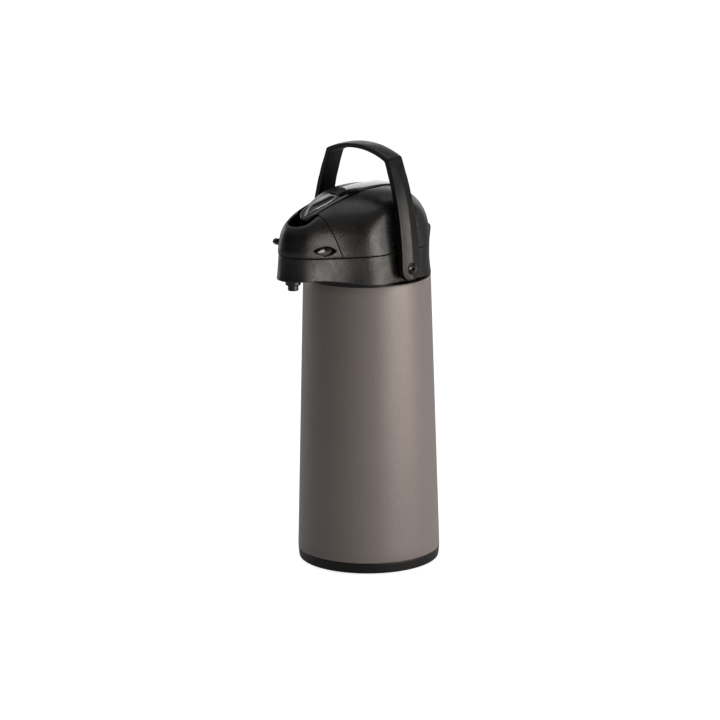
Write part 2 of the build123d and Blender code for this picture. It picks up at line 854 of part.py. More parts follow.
with BuildPart() as pump_spring:
    with BuildLine():
        Helix(
            spring_pitch,
            push_plate_z - bellows_bottom_z - 2 * spring_play,
            spring_r,
            center=(0, 0, bellows_bottom_z + spring_play),
        )
    with BuildSketch(Plane((spring_r, 0, bellows_bottom_z + spring_play), z_dir=(0, 1, 0))):
        Circle(spring_wire_r)
    sweep()

with BuildPart() as push_plate:
    ring(push_plate_z, push_plate_t, push_plate_r, 0)
    ring(push_plate_z + push_plate_t, stem_top_z - push_plate_z - push_plate_t, stem_r, 0)

with BuildPart() as valve_disc:
    ring(bellows_bottom_z + valve_lift, valve_t, valve_r, 0, air_y)

with BuildPart() as pump_lever:
    lever_strip(0, lever_t, lever_half_w, lever_tip_y, lever_rear_y)
    with BuildSketch(Plane.XY.offset(lever_cut_z)):
        with BuildLine():
            ThreePointArc(
                (-lever_half_w, lever_bend_y), (0, lever_tip_y), (lever_half_w, lever_bend_y)
            )
            Polyline(
                (lever_half_w, lever_bend_y),
                (lever_half_w, lever_cut_y),
                (-lever_half_w, lever_cut_y),
                (-lever_half_w, lever_bend_y),
            )
        make_face()
    extrude(amount=lever_cut_h, mode=Mode.INTERSECT)
    long_edges = pump_lever.faces().sort_by(Axis.Z)[-1].edges().filter_by(lambda e: e.length > 90)
    fillet(long_edges, lever_edge_r)
    lever_strip(
        lever_skin,
        lever_t + 4,
        lever_half_w - lever_skin,
        lever_tip_y + lever_tip_hollow,
        lever_rear_y - lever_rear_hollow,
        Mode.SUBTRACT,
    )
    with BuildSketch(Plane.YZ.offset(-lever_half_w)):
        with BuildLine():
            Polyline(
                (lever_thin_y, lever_thin_z),
                (lever_thin_tip_y, lever_thin_tip_z),
                (lever_thin_tip_y, lever_thin_tip_z - 2 * lever_t),
                (lever_thin_y, lever_thin_z - 2 * lever_t),
                close=True,
            )
        make_face()
    extrude(amount=2 * lever_half_w, mode=Mode.SUBTRACT)
    rod_x(-lever_half_w, 2 * lever_half_w, lever_boss_r, lever_pivot_y, lever_pivot_z)
    with BuildSketch(Plane.YZ.offset(-lever_half_w)):
        with Locations((lever_pivot_y, lever_pivot_z)):
            Rectangle(2 * lever_boss_r, lever_block_h, align=(Align.CENTER, Align.MIN))
    extrude(amount=2 * lever_half_w)
    with BuildSketch(Plane.YZ.offset(-presser_half_w)):
        with Locations((pump_y, stem_top_z + gap + presser_r)):
            Rectangle(presser_t, presser_h, align=(Align.CENTER, Align.MIN))
            Circle(presser_r)
    extrude(amount=2 * presser_half_w)
    rod_x(-bore_half, 2 * bore_half, lever_pin_r + running_gap, lever_pivot_y, lever_pivot_z, Mode.SUBTRACT)

with BuildPart() as lever_badge:
    lever_strip(-badge_proud, badge_t, lever_half_w, lever_tip_y, lever_rear_y)
    leaf(badge_front_y, badge_wide_y, badge_rear_y, badge_half_w, Mode.INTERSECT)

with pump_lever:
    add(lever_badge.part, mode=Mode.SUBTRACT)

# Files ----------------------------------------------------------------------

os.makedirs("parts", exist_ok=True)
write(foot_ring.part, "foot_ring")
write(base_cap.part, "base_cap")
write(base_screws.part, "base_screws")
write(outer_body.part, "outer_body")
write(liner_cradle.part, "liner_cradle")
write(liner_cushion.part, "liner_cushion")
write(liner_outer_flask.part, "liner_outer_flask")
write(liner_inner_flask.part, "liner_inner_flask")
write(neck_ring.part, "neck_ring")
write(mouth_gasket.part, "mouth_gasket")
write(mouth_plug.part, "mouth_plug")
write(dip_tube.part, "dip_tube")
write(collar.part, "collar")
write(hinge_pin.part, "hinge_pin")
write(collar_screws.part, "collar_screws")
write(spout_nozzle.part, "spout_nozzle")
write(spout_pipe.part, "spout_pipe")
write(handle.part, "handle")
write(handle_pivots.part, "handle_pivots")
write(nose_cover.part, "nose_cover")
write(lock_bar.part, "lock_bar")
write(lid_shell.part, "lid_shell")
write(lever_pin.part, "lever_pin")
write(lid_plate.part, "lid_plate")
write(lid_gasket.part, "lid_gasket")
write(lid_screws.part, "lid_screws")
write(bellows.part, "bellows")
write(pump_spring.part, "pump_spring")
write(push_plate.part, "push_plate")
write(valve_disc.part, "valve_disc")
write(pump_lever.part, "pump_lever")
write(lever_badge.part, "lever_badge")
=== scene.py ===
import json
import math

import bmesh
import bpy
import numpy as np
from mathutils import Matrix, Vector

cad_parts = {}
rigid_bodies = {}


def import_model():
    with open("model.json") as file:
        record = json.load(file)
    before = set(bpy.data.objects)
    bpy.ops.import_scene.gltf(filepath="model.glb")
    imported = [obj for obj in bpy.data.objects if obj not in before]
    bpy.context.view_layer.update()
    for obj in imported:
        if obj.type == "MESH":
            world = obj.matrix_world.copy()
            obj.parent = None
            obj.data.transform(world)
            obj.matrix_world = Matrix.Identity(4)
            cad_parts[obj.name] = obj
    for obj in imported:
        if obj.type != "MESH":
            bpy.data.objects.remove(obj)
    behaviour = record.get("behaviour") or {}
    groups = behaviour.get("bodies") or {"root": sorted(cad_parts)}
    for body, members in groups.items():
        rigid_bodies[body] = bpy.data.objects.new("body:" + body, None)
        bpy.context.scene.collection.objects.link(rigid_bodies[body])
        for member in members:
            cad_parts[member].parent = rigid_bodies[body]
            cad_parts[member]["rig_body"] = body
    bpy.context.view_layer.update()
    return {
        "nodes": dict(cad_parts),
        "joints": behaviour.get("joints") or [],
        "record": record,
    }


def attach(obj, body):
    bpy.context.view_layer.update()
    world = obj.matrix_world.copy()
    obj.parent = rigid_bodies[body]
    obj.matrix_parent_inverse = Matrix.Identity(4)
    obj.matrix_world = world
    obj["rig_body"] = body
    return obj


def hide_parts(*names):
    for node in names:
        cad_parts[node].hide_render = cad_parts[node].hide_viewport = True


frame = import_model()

# A thermal coffee airpot in the frame's own axes: +Z is up, and -Y is towards the beak.
# Its sizes are in mm, which MM turns to Blender's metres. The studio's sizes are in metres.
MM = 0.001
nodes = frame["nodes"]
record = frame["record"]


# ---------------------------------------------------------------- node trees


class NodeTree:
    """Adds nodes to the tree of a material or a world, and joins them."""

    def __init__(self, owner):
        owner.use_nodes = True
        self.tree = owner.node_tree
        self.tree.nodes.clear()

    def add(self, kind):
        return self.tree.nodes.new("ShaderNode" + kind)

    def join(self, source, target):
        self.tree.links.new(source, target)

    def put(self, socket, value):
        """Feeds a socket from another node's output, or sets it to a plain value."""
        if isinstance(value, bpy.types.NodeSocket):
            self.join(value, socket)
        else:
            socket.default_value = value

    def calc(self, kind, a, b):
        node = self.add("Math")
        node.operation = kind
        self.put(node.inputs[0], a)
        self.put(node.inputs[1], b)
        return node.outputs[0]

    def span(self, value, low, high, to_low=0.0, to_high=1.0):
        """Maps low..high smoothly to to_low..to_high, and holds the ends beyond that."""
        node = self.add("MapRange")
        node.interpolation_type = "SMOOTHSTEP"
        self.join(value, node.inputs["Value"])
        limits = ("From Min", "From Max", "To Min", "To Max")
        for limit, number in zip(limits, (low, high, to_low, to_high)):
            node.inputs[limit].default_value = number
        return node.outputs["Result"]


class Finish(NodeTree):
    """One material with a Principled surface. Its pattern sizes are in mm."""

    MIX_COLOR_A, MIX_COLOR_B, MIX_COLOR_OUT = 6, 7, 2

    def __init__(self, name):
        self.material = bpy.data.materials.new(name)
        super().__init__(self.material)
        out = self.add("OutputMaterial")
        self.surface = self.add("BsdfPrincipled")
        self.join(self.surface.outputs[0], out.inputs["Surface"])
        self.place = self.add("TexCoord").outputs["Object"]

    def stretched(self, factors):
        """Scaled coordinates, which draw a pattern out along each axis with a small factor."""
        node = self.add("VectorMath")
        node.operation = "MULTIPLY"
        self.join(self.place, node.inputs[0])
        node.inputs[1].default_value = factors
        return node.outputs[0]

    def noise(self, size, detail=3.0, rough=0.55, where=None):
        node = self.add("TexNoise")
        self.join(where or self.place, node.inputs["Vector"])
        node.inputs["Scale"].default_value = 1.0 / (size * MM)
        node.inputs["Detail"].default_value = detail
        node.inputs["Roughness"].default_value = rough
        return node.outputs["Fac"]

    def cells(self, size):
        """Small round pits, packed side by side."""
        node = self.add("TexVoronoi")
        node.feature = "F1"
        self.join(self.place, node.inputs["Vector"])
        node.inputs["Scale"].default_value = 1.0 / (size * MM)
        return node.outputs["Distance"]

    def edges(self):
        """Rises to 1 on the sharper outer edges."""
        node = self.add("NewGeometry")
        return self.span(node.outputs["Pointiness"], 0.52, 0.6)

    def mix(self, factor, a, b):
        """A colour between a and b."""
        node = self.add("Mix")
        node.data_type = "RGBA"
        self.put(node.inputs["Factor"], factor)
        self.put(node.inputs[self.MIX_COLOR_A], a)
        self.put(node.inputs[self.MIX_COLOR_B], b)
        return node.outputs[self.MIX_COLOR_OUT]

    def bump(self, height, depth, strength=1.0, after=None):
        """A normal bumped by a height pattern, on top of another bump if one is given."""
        node = self.add("Bump")
        node.inputs["Strength"].default_value = strength
        node.inputs["Distance"].default_value = depth * MM
        self.join(height, node.inputs["Height"])
        if after is not None:
            self.join(after, node.inputs["Normal"])
        return node.outputs[0]

    def done(self, color, roughness, normal, others):
        """Joins the patterns to the surface, sets its other inputs, and gives the material."""
        inputs = {"Base Color": color, "Roughness": roughness, "Normal": normal, **others}
        for name, value in inputs.items():
            self.put(self.surface.inputs[name], value)
        return self.material


# ---------------------------------------------------------------- materials


def rgba(color, gain=1.0):
    return (color[0] * gain, color[1] * gain, color[2] * gain, 1.0)


def plastic(name, color, rough, grain=0.55, depth=0.035, wear=0.5, tint=0.2, spec=0.5, mottle=0.02):
    """Moulded plastic: spark-eroded grain, cloudy changes of gloss, and edges polished by handling.

    grain and depth are the grain's size and height. wear is how bright the edges are, tint how much
    the colour varies, and mottle how much the gloss varies with the grain.
    """
    s = Finish(name)
    fine = s.noise(grain, 2.0, 0.6)
    pits = s.cells(grain * 1.9)
    cloud = s.noise(24, 4.0, 0.6)
    smudge = s.noise(7, 3.0, 0.5)
    edge = s.calc("MULTIPLY", s.edges(), wear)
    base = s.mix(s.calc("MULTIPLY", cloud, tint), rgba(color), rgba(color, 1.8))
    base = s.mix(s.calc("MULTIPLY", s.span(fine, 0.35, 0.7), tint), base, rgba(color, 2.4))
    base = s.mix(edge, base, rgba(color, 2.2))
    clouded = s.span(cloud, 0.35, 0.7, rough - 0.05, rough + 0.06)
    roughness = s.calc("ADD", clouded, s.span(smudge, 0.4, 0.7, -0.02, 0.03))
    roughness = s.calc("SUBTRACT", roughness, s.calc("MULTIPLY", edge, 0.08))
    roughness = s.calc("ADD", roughness, s.span(fine, 0.38, 0.62, -mottle, mottle))
    height = s.calc("ADD", fine, s.calc("MULTIPLY", pits, 0.5))
    return s.done(base, roughness, s.bump(height, depth), {"Specular IOR Level": spec})


def paint(name, color, rough):
    """Satin powder paint on sheet steel: fine orange peel, faint mottle, and long upright scuffs."""
    s = Finish(name)
    peel = s.noise(0.7, 2.0, 0.5)
    mottle = s.noise(1.6, 3.0, 0.6)
    cloud = s.noise(55, 3.0, 0.5)
    scuff = s.noise(6, 5.0, 0.7, s.stretched((1.0, 1.0, 0.15)))
    base = s.mix(s.span(mottle, 0.35, 0.65), rgba(color, 0.93), rgba(color, 1.07))
    base = s.mix(s.span(cloud, 0.4, 0.6, 0.0, 0.5), base, rgba(color, 1.05))
    roughness = s.span(scuff, 0.45, 0.75, rough, rough + 0.1)
    height = s.calc("ADD", peel, s.calc("MULTIPLY", mottle, 0.5))
    others = {"Metallic": 0.12, "Specular IOR Level": 0.5, "Coat Weight": 0.15, "Coat Roughness": 0.3}
    return s.done(base, roughness, s.bump(height, 0.02), others)


def gloss(name, color, rough, metallic=0.0):
    """Polished moulding: hairline scratches and a slow ripple under a clear surface."""
    s = Finish(name)
    hair = s.noise(0.8, 3.0, 0.6, s.stretched((1.0, 0.08, 0.3)))
    ripple = s.noise(9, 1.0, 0.4)
    smudge = s.noise(12, 4.0, 0.6)
    base = s.mix(s.span(smudge, 0.4, 0.7, 0.0, 0.4), rgba(color), rgba(color, 1.8))
    roughness = s.span(hair, 0.45, 0.8, rough, rough + 0.12)
    normal = s.bump(ripple, 0.03, 0.4, s.bump(hair, 0.0015))
    others = {"Metallic": metallic, "Coat Weight": 1.0, "Coat Roughness": 0.04}
    return s.done(base, roughness, normal, others)


def metal(name, color, rough, run):
    """Drawn or turned metal: fine lines along the axis where run is small, with dull patches."""
    s = Finish(name)
    lines = s.noise(0.25, 4.0, 0.6, s.stretched(run))
    dull = s.noise(3, 3.0, 0.6)
    base = s.mix(s.span(dull, 0.4, 0.7, 0.0, 0.6), rgba(color), rgba(color, 0.7))
    roughness = s.span(lines, 0.3, 0.7, rough, rough + 0.2)
    return s.done(base, roughness, s.bump(lines, 0.01), {"Metallic": 1.0})


def soft(name, color, rough, sheen, scatter=0.0):
    """Rubber or silicone: matt, with fine pores and dusty patches."""
    s = Finish(name)
    pores = s.noise(0.4, 3.0, 0.6)
    dust = s.noise(8, 4.0, 0.6)
    base = s.mix(s.span(dust, 0.35, 0.7, 0.0, 0.6), rgba(color), rgba(color, 1.35))
    roughness = s.span(dust, 0.3, 0.7, rough - 0.06, rough + 0.06)
    others = {"Sheen Weight": sheen, "Subsurface Weight": scatter, "Subsurface Scale": 2 * MM}
    return s.done(base, roughness, s.bump(pores, 0.04), others)


def silvered(name):
    """Silvered flask glass: a slightly wavy mirror under clear glass, with grey stains."""
    s = Finish(name)
    wave = s.noise(18, 2.0, 0.4)
    stain = s.noise(10, 5.0, 0.65)
    base = s.mix(s.span(stain, 0.5, 0.7), (0.8, 0.84, 0.86, 1), (0.55, 0.58, 0.6, 1))
    roughness = s.span(stain, 0.4, 0.7, 0.05, 0.18)
    return s.done(base, roughness, s.bump(wave, 0.3, 0.4), {"Metallic": 1.0, "Coat Weight": 1.0})


HEAD_COLOR = (0.0062, 0.0059, 0.0057)
HANDLE_COLOR = (0.0030, 0.0030, 0.0029)
looks = {
    "head_black": plastic("head_black", HEAD_COLOR, 0.35, 1.4, 0.08, tint=0.6, spec=0.6, mottle=0.04),
    "base_black": plastic("base_black", (0.004, 0.004, 0.004), 0.42, wear=0.3),
    "handle_black": plastic("handle_black", HANDLE_COLOR, 0.38, grain=0.45, depth=0.025),
    "body_paint": paint("body_paint", (0.290, 0.252, 0.242), 0.42),
    "lever_gloss": gloss("lever_gloss", (0.006, 0.006, 0.0075), 0.06),
    "badge_bright": gloss("badge_bright", (0.42, 0.43, 0.46), 0.14, 0.9),
    "bar_gloss": gloss("bar_gloss", (0.008, 0.008, 0.008), 0.12),
    "foot_rubber": soft("foot_rubber", (0.022, 0.022, 0.022), 0.8, 0.2),
    "steel_screw": metal("steel_screw", (0.56, 0.56, 0.55), 0.28, (1.0, 1.0, 0.1)),
    "pin_steel": metal("pin_steel", (0.6, 0.6, 0.6), 0.22, (0.1, 1.0, 1.0)),
    "liner_glass": silvered("liner_glass"),
    "cradle_plastic": plastic("cradle_plastic", (0.10, 0.10, 0.10), 0.5, wear=0.2, tint=0.1),
    "clear_plug": plastic("clear_plug", (0.62, 0.62, 0.58), 0.4, wear=0.0, tint=0.05),
    "tube_plastic": plastic("tube_plastic", (0.66, 0.66, 0.62), 0.35, wear=0.0, tint=0.05),
    "soft_seal": soft("soft_seal", (0.6, 0.6, 0.56), 0.55, 0.1, 0.2),
    "bellows_white": soft("bellows_white", (0.68, 0.68, 0.65), 0.5, 0.1, 0.2),
}
slot_of = {part["node"]: part["material_slot"] for part in record["subparts"]}
for node, obj in nodes.items():
    obj.data.materials.clear()
    obj.data.materials.append(looks[slot_of[node]])


# ---------------------------------------------------------------- lines and shares


def unit(value):
    """Holds a value between 0 and 1."""
    return np.clip(value, 0, 1)


def eased(share):
    """A share from 0 to 1 that starts and ends level."""
    return share * share * (3 - 2 * share)


def run_of(line):
    """The distance along a line to each of its points."""
    return np.concatenate([[0], np.cumsum(np.linalg.norm(np.diff(line, axis=0), axis=1))])


def even(line, count):
    """The same line as evenly spaced points."""
    run = run_of(line)
    places = np.linspace(0, run[-1], count)
    return np.stack([np.interp(places, run, line[:, 0]), np.interp(places, run, line[:, 1])], 1)


def spline(points, step):
    """A smooth line through the points in even steps: a natural cubic in chord length."""
    points = np.array(points, float)
    count = len(points)
    run = run_of(points)
    gap = np.diff(run)
    matrix = np.zeros((count, count))
    wanted = np.zeros(points.shape)
    matrix[0, 0] = matrix[-1, -1] = 1.0
    for i in range(1, count - 1):
        matrix[i, i - 1 : i + 2] = gap[i - 1], 2 * (gap[i - 1] + gap[i]), gap[i]
        slope_after = (points[i + 1] - points[i]) / gap[i]
        slope_before = (points[i] - points[i - 1]) / gap[i - 1]
        wanted[i] = 6 * (slope_after - slope_before)
    bend = np.linalg.solve(matrix, wanted)
    line = []
    for place in np.linspace(0, run[-1], int(round(run[-1] / step)) + 1):
        i = min(count - 2, int(np.searchsorted(run, place, side="right") - 1))
        a = (run[i + 1] - place) / gap[i]
        b = (place - run[i]) / gap[i]
        curve = (a**3 - a) * bend[i] + (b**3 - b) * bend[i + 1]
        line.append(a * points[i] + b * points[i + 1] + curve * gap[i] ** 2 / 6)
    return np.array(line)


# ---------------------------------------------------------------- meshes


def keep(name, mesh, slot, node):
    """Makes a piece of a mesh with its finish. It replaces a CAD node and rides on that node's body."""
    piece = bpy.data.objects.new(name, mesh)
    bpy.context.scene.collection.objects.link(piece)
    mesh.materials.clear()
    mesh.materials.append(looks[slot])
    smooth(mesh)
    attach(piece, nodes[node]["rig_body"])
    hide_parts(node)
    return piece


def smooth(mesh):
    mesh.polygons.foreach_set("use_smooth", [True] * len(mesh.polygons))


def skin(name, rings, closed=False):
    """Skins a list of equal rings. The end rings are filled, unless the list closes on itself."""
    count = len(rings[0])
    points = np.array([point for ring in rings for point in ring]) * MM
    faces = []
    for i in range(len(rings) if closed else len(rings) - 1):
        a = i * count
        b = (i + 1) % len(rings) * count
        for j in range(count):
            k = (j + 1) % count
            faces.append((a + j, a + k, b + k, b + j))
    if not closed:
        faces.append(tuple(range(count)))
        faces.append(tuple(range(len(points) - count, len(points))))
    mesh = bpy.data.meshes.new(name)
    mesh.from_pydata(points.tolist(), [], faces)
    work = bmesh.new()
    work.from_mesh(mesh)
    bmesh.ops.remove_doubles(work, verts=work.verts, dist=0.001 * MM)
    bmesh.ops.recalc_face_normals(work, faces=work.faces)
    work.to_mesh(mesh)
    work.free()
    return mesh


def turned(name, profile, steps, place):
    """Turns a closed (radius, height) profile about its axis. place puts each point in the frame."""
    rings = []
    for i in range(steps):
        turn = 2 * math.pi * i / steps
        c, s = math.cos(turn), math.sin(turn)
        rings.append([place(radius * c, radius * s, height) for radius, height in profile])
    return skin(name, rings, closed=True)


def remeshed(mesh, voxel, rounds):
    """The same solid as even small quads, with its edges softened as a moulding's are."""
    holder = bpy.data.objects.new("holder", mesh)
    bpy.context.scene.collection.objects.link(holder)
    remesh = holder.modifiers.new("remesh", "REMESH")
    remesh.mode = "VOXEL"
    remesh.voxel_size = voxel * MM
    soften = holder.modifiers.new("soften", "SMOOTH")
    soften.factor = 0.5
    soften.iterations = rounds
    graph = bpy.context.evaluated_depsgraph_get()
    result = bpy.data.meshes.new_from_object(holder.evaluated_get(graph))
    bpy.data.objects.remove(holder)
    return result


def moulded(name, node, slot, voxel, rounds):
    """A softened copy of a CAD node, which it replaces."""
    return keep(name, remeshed(nodes[node].data.copy(), voxel, rounds), slot, node)


def reshape(mesh, *changes):
    """Runs each change on the mesh's points, an array of x, y and z in mm."""
    flat = np.zeros(len(mesh.vertices) * 3)
    mesh.vertices.foreach_get("co", flat)
    points = flat.reshape(-1, 3) / MM
    for change in changes:
        change(points)
    mesh.vertices.foreach_set("co", (points * MM).ravel())
    mesh.update()


# ---------------------------------------------------------------- body and base

FOOT_R, FOOT_Z = 71.0, 12.0
TOP_R, TOP_Z = 63.2, 290.3
SHEET = 0.8
WALL_STEPS, BODY_SIDES = 29, 320
FOOT_ROLL = [(0.35, 0.0), (0.1, 0.1), (0.02, 0.4)]
TOP_ROLL = [(0.0, 0.3), (0.1, 0.1), (0.35, 0.0)]


def body_shell():
    """The tapered sheet shell. Each roll lists (inset from the wall, distance from the end)."""
    wall = []
    for i in range(1, WALL_STEPS):
        share = i / WALL_STEPS
        wall.append((FOOT_R + (TOP_R - FOOT_R) * share, FOOT_Z + (TOP_Z - FOOT_Z) * share))
    outside = [(FOOT_R - inset, FOOT_Z + up) for inset, up in FOOT_ROLL]
    outside += wall
    outside += [(TOP_R - inset, TOP_Z - down) for inset, down in TOP_ROLL]
    inside = [(TOP_R - SHEET, TOP_Z)]
    inside += [(radius - SHEET, z) for radius, z in reversed(wall)]
    inside += [(FOOT_R - SHEET, FOOT_Z)]
    mesh = turned("body_shell", outside + inside, BODY_SIDES, lambda x, y, z: (x, y, z))
    keep("body_shell", mesh, "body_paint", "outer_body")


body_shell()
moulded("base_moulding", "base_cap", "base_black", voxel=0.7, rounds=4)
moulded("foot_moulding", "foot_ring", "foot_rubber", voxel=0.7, rounds=4)

# ---------------------------------------------------------------- head mouldings

LIP_Z, SEAM_Z, CROWN_Z = 291.0, 321.5, 379.5

# The head's outline: a round dome with a slight waist and a flared lip, and a beak spread round its front
HEAD_R, DOME_POWER = 61.8, 2.7
WAIST_IN, LIP_OUT = 0.5, 1.5
NOSE_REACH, NOSE_LIP_OUT = 50.5, 3.8
NOSE_TOP_POWER, NOSE_TOP_FADE = 5.0, 1.3
NOSE_SPREAD, NOSE_SPREAD_POWER = 18.0, 2.6

# The side flats, beside the handle's arms, lean in above FLAT_TILT_Z
FLAT_X, FLAT_TILT_Z, FLAT_LEAN = 55.8, 306.0, 0.15
FLAT_ROLL, FLAT_ROLL_DEPTH = 2.6, 5.0

# The seam rises towards the beak, and takes a band above and below it along
SEAM_RISE, SEAM_RISE_POWER = 4.0, 1.6
SEAM_RISE_Y, SEAM_RISE_LENGTH = -60.0, 52.0
BAND_LOW_Z, BAND_HIGH_Z = 300.0, 345.0

# The scoop in the beak under the lever's tip, and the rolled lip round its mouth
SCOOP_HALF_W, SCOOP_BEND_Y, SCOOP_FLOOR_Z = 13.0, -88.5, 335.4
SCOOP_LIP_W, SCOOP_LIP_DROP, SCOOP_WALL = 4.5, 2.2, 0.6
SCOOP_LIP_START, SCOOP_LIP_FADE = 4.0, 6.0


def head_reach(turn, z):
    """The outline's radius before the flats are cut, at an angle from the beak in degrees and a height."""
    up = np.clip((z - SEAM_Z) / (CROWN_Z - SEAM_Z), 0, 0.995)
    down = unit((SEAM_Z - z) / (SEAM_Z - LIP_Z))
    dome = HEAD_R * (1 - up**DOME_POWER) ** (1 / DOME_POWER)
    radius = dome + LIP_OUT * down**2 - WAIST_IN * np.sin(math.pi * down)
    nose = NOSE_REACH * (1 - up**NOSE_TOP_POWER) ** NOSE_TOP_FADE + NOSE_LIP_OUT * down
    return radius + nose / (1 + (turn / NOSE_SPREAD) ** NOSE_SPREAD_POWER)


def blend_flats(points):
    """Rolls the hard edges where the side flats meet the round of the head."""
    x, y, z = points.T
    reach = np.maximum(np.hypot(x, y), 1.0)
    free = head_reach(np.degrees(np.arctan2(np.abs(x), -y)), z)
    flat_x = FLAT_X - np.clip(z - FLAT_TILT_Z, 0, None) * FLAT_LEAN
    flat = flat_x / np.maximum(np.abs(x) / reach, 0.05)
    hard = np.minimum(free, flat)
    rolled = hard - FLAT_ROLL * np.log1p(np.exp(-np.abs(free - flat) / FLAT_ROLL))
    near = unit(1 - (hard - reach) / FLAT_ROLL_DEPTH)
    points[:, :2] *= (1 + (rolled - hard) * near / reach)[:, None]


def lift_seam(points):
    """Sweeps the seam up a little towards the beak."""
    y, z = points[:, 1], points[:, 2]
    rise = SEAM_RISE * unit((SEAM_RISE_Y - y) / SEAM_RISE_LENGTH) ** SEAM_RISE_POWER
    below = (z - BAND_LOW_Z) / (SEAM_Z - BAND_LOW_Z)
    above = (BAND_HIGH_Z - z) / (BAND_HIGH_Z - SEAM_Z)
    points[:, 2] += rise * eased(unit(np.where(z < SEAM_Z, below, above)))


def roll_scoop_lip(points):
    """Rolls the beak's skin down into the scoop all round its mouth."""
    ahead = np.minimum(points[:, 1] - SCOOP_BEND_Y, 0.0)
    beside = np.hypot(points[:, 0], ahead) - SCOOP_HALF_W
    high = unit((points[:, 2] - SCOOP_FLOOR_Z - SCOOP_LIP_START) / SCOOP_LIP_FADE)
    lip = unit(1 - beside / SCOOP_LIP_W) * (beside > -SCOOP_WALL) * high
    points[:, 2] -= SCOOP_LIP_DROP * lip * lip


def head_moulding(name, node, voxel):
    piece = moulded(name, node, "head_black", voxel, rounds=6)
    reshape(piece.data, blend_flats, lift_seam)
    return piece


head_moulding("collar_moulding", "collar", 0.55)
head_moulding("lid_moulding", "lid_shell", 0.55)
beak = head_moulding("beak_moulding", "nose_cover", 0.5)
reshape(beak.data, roll_scoop_lip)

# ---------------------------------------------------------------- handle

joints = {joint["name"]: joint for joint in frame["joints"]}
PIVOT_Y, PIVOT_Z = (round(place / MM, 3) for place in joints["handle_swing"]["pos_m"][1:])
END_HALF_W, GRIP_HALF_W, GRIP_Z = 12.4, 9.75, 414.0
ARM_T, GRIP_T, CREST_Z = 6.2, 5.0, 423.0
SHOULDER_X, SHOULDER_Z = 43.5, 413.5
INNER_SHOULDER_X, INNER_SHOULDER_Z = SHOULDER_X - ARM_T + 0.7, 409.5
ARM = [(66.4, 292.0), (66.2, PIVOT_Z), (63.9, 334.0), (56.9, 373.0)]
LINE_STEP, LOOP_POINTS, CORNER_ROUNDS = 0.8, 420, 4

# The arms' outer faces have a ridge with a facet on each side, and the grip has a plain crown
RIDGE_FOOT, RIDGE_SHIFT = 0.04, 0.2
FRONT_FALL, FRONT_SWELL, REAR_FALL, RIDGE_UP = 1.1, 0.25, 1.3, 0.6
ARM_TOP_Z, ARM_TOP_FADE = 405.0, 14.0
GRIP_CROWN, GRIP_CROWN_POWER = 0.9, 2.2
SKIN_DEPTH = 5.0
DIMPLE_R, DIMPLE_FLOOR_X = 5.5, 62.4


def arc(end_x, end_z, crest_z):
    """A circular arc from (end_x, end_z) over (0, crest_z) to the mirrored end."""
    rise = crest_z - end_z
    radius = (end_x**2 + rise**2) / (2 * rise)
    half = math.asin(end_x / radius)
    turns = np.linspace(half, -half, int(2 * half * radius / LINE_STEP))
    return np.stack([radius * np.sin(turns), crest_z - radius + radius * np.cos(turns)], 1)


def loop_side(arm, crest_z):
    """One side of the handle's loop, from the right foot over the crest to the left foot."""
    right = spline(arm, LINE_STEP)
    left = right[::-1] * np.array([-1.0, 1.0])
    line = np.concatenate([right, arc(*arm[-1], crest_z)[1:-1], left])
    for _ in range(CORNER_ROUNDS):
        line[1:-1] = 0.25 * line[:-2] + 0.5 * line[1:-1] + 0.25 * line[2:]
    return even(line, LOOP_POINTS)


def half_width(z):
    """Half the handle's width: round at its feet, then narrowing to the grip."""
    narrowing = unit((z - PIVOT_Z) / (GRIP_Z - PIVOT_Z))
    straight = END_HALF_W + (GRIP_HALF_W - END_HALF_W) * narrowing
    round_end = np.sqrt(np.clip(END_HALF_W**2 - (PIVOT_Z - z) ** 2, 0.01, None))
    return np.where(z < PIVOT_Z, round_end, straight)


outer_line = loop_side(ARM + [(SHOULDER_X, SHOULDER_Z)], CREST_Z)
inner_arm = [(x - ARM_T, z) for x, z in ARM] + [(INNER_SHOULDER_X, INNER_SHOULDER_Z)]
inner_line = loop_side(inner_arm, CREST_Z - GRIP_T)


def handle_rings():
    """Cuts across the loop, from foot to foot."""
    foot_z = PIVOT_Z - END_HALF_W + 0.05
    rings = []
    for (out_x, out_z), (in_x, in_z) in zip(outer_line, inner_line):
        if min(out_z, in_z) < foot_z:
            continue
        out_w, in_w = float(half_width(out_z)), float(half_width(in_z))
        outer_edge = [(out_x, PIVOT_Y - out_w, out_z), (out_x, PIVOT_Y + out_w, out_z)]
        inner_edge = [(in_x, PIVOT_Y + in_w, in_z), (in_x, PIVOT_Y - in_w, in_z)]
        rings.append(outer_edge + inner_edge)
    return rings


def outer_skin(x, z):
    """How near each point is to the loop's outer line, and the way out of the loop there.

    The points are all on the right, so the line is cut just past the crest.
    """
    line = outer_line[outer_line[:, 0] > -1.0]
    nearest = np.zeros(len(x), int)
    gap = np.full(len(x), np.inf)
    for i, (line_x, line_z) in enumerate(line):
        distance = np.hypot(x - line_x, z - line_z)
        closer = distance < gap
        gap[closer] = distance[closer]
        nearest[closer] = i
    along = np.gradient(line, axis=0)
    along /= np.linalg.norm(along, axis=1)[:, None]
    outward = np.stack([along[:, 1], -along[:, 0]], 1)
    outward *= np.where(outward @ np.array([1.0, 0.3]) < 0, -1.0, 1.0)[:, None]
    return unit(1 - gap / SKIN_DEPTH), outward[nearest]


